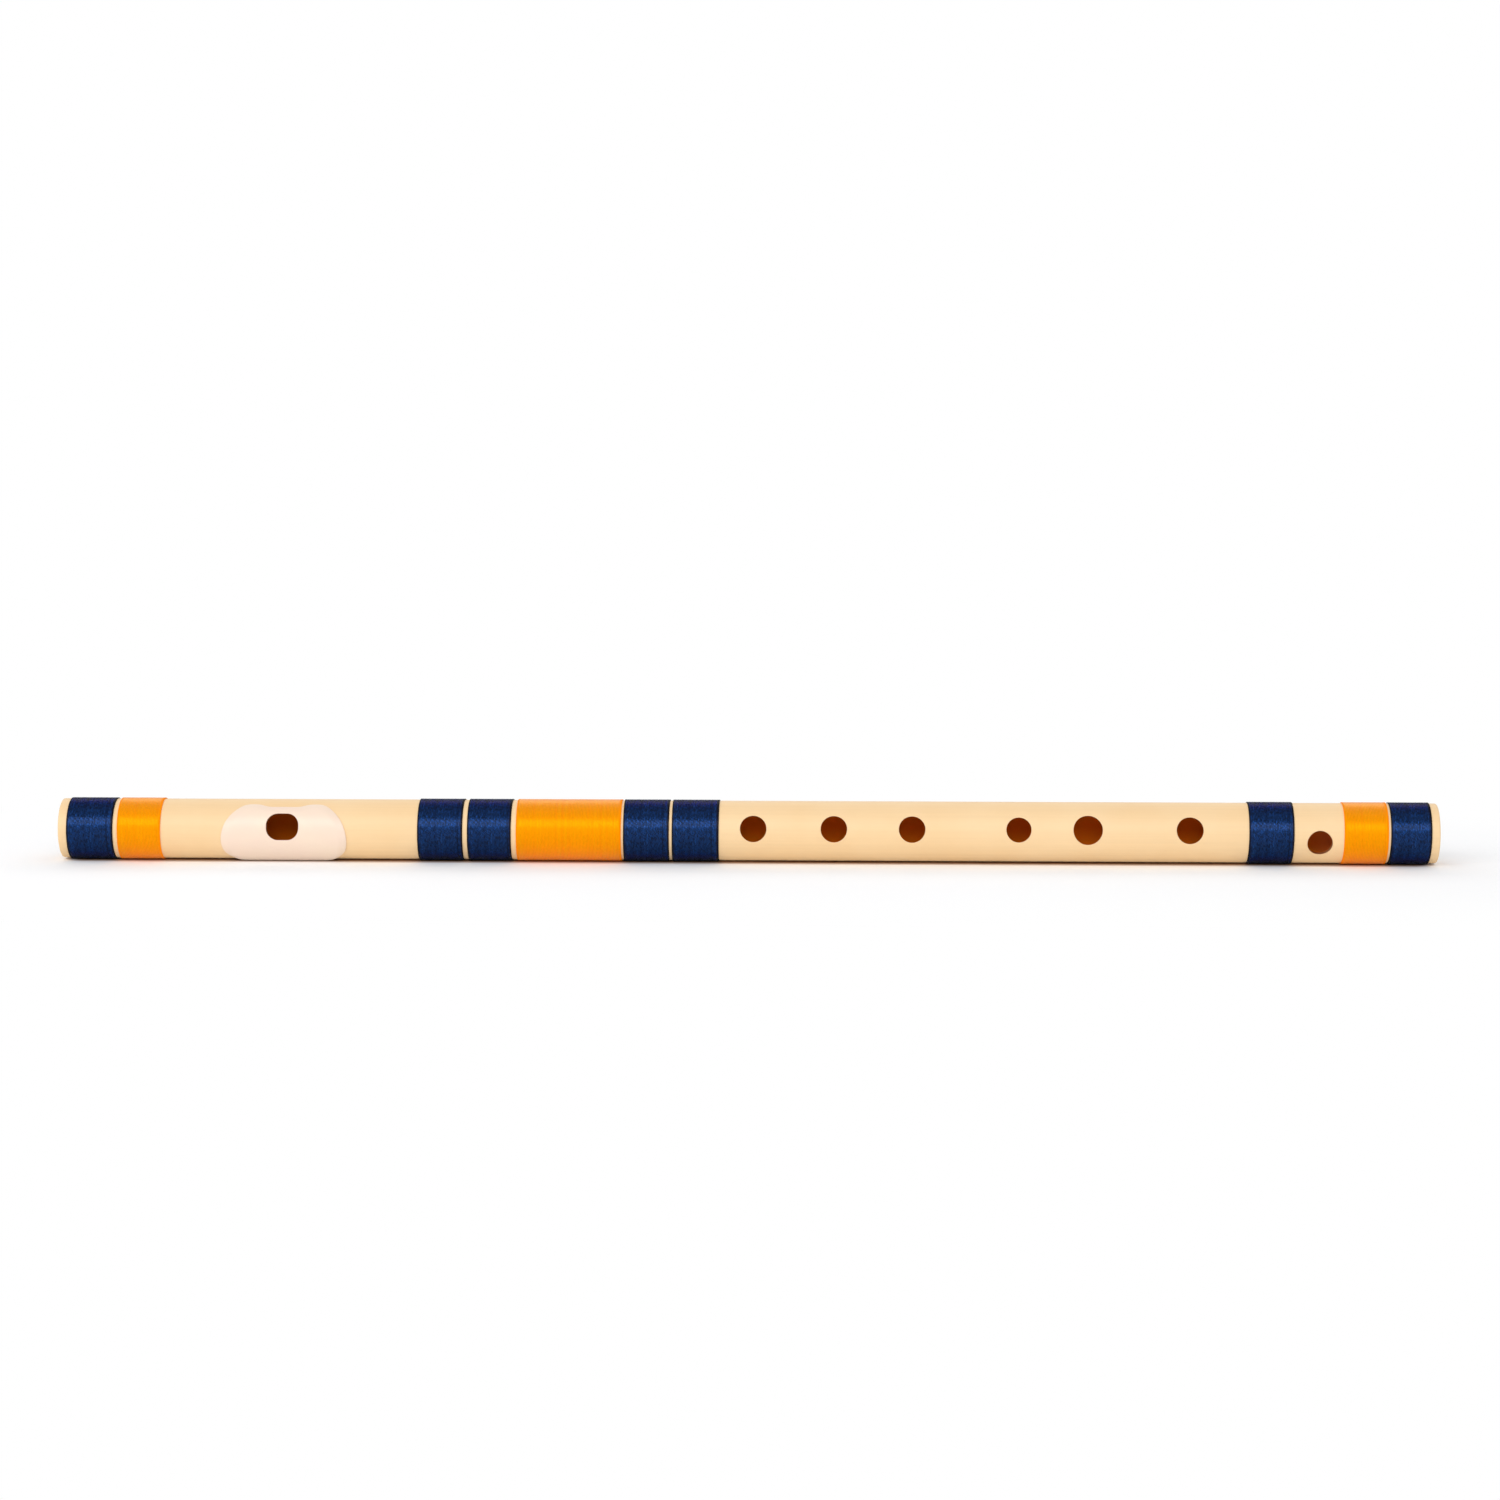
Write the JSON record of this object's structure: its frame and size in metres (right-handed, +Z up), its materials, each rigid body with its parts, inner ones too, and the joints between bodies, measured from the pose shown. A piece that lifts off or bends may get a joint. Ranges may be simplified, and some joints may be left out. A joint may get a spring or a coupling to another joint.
{
  "type": "bansuri",
  "caption": "Side-blown tube flute with a rounded lip plate over its blow hole, finger holes in a row, a vent hole, navy and orange thread bindings, and a cork stopper in the bore.",
  "frame": {"origin": "the middle of the flute's length, on the plane that it lies on, straight below the tube's axis", "axes": "+X along the flute from the head end, where it is blown, to the foot; +Z up; the finger holes face -Y and 12 degrees up, as the flute lies on its bindings"},
  "size_m": [0.494, 0.0227, 0.0222],
  "materials": {
    "pipe_cream": "extruded cream plastic pipe, satin",
    "plate_white": "moulded warm white plastic, soft gloss",
    "thread_navy": "touching turns of navy thread",
    "thread_orange": "touching turns of shiny orange thread",
    "cork": "natural cork"
  },
  "bodies": {
    "flute": {"flute_tube": "pipe_cream", "lip_plate": "plate_white", "binding_head_navy": "thread_navy", "binding_head_orange": "thread_orange", "binding_middle_navy_1": "thread_navy", "binding_middle_navy_2": "thread_navy", "binding_middle_orange": "thread_orange", "binding_middle_navy_3": "thread_navy", "binding_middle_navy_4": "thread_navy", "binding_lower_navy": "thread_navy", "binding_foot_orange": "thread_orange", "binding_foot_navy": "thread_navy"},
    "stopper": {"stopper_cork": "cork"}
  },
  "joints": [
    {"name": "stopper_slide", "type": "slide", "parent": "flute", "child": "stopper", "axis": [1, 0, 0], "range_m": [-0.008, 0.003]}
  ]
}
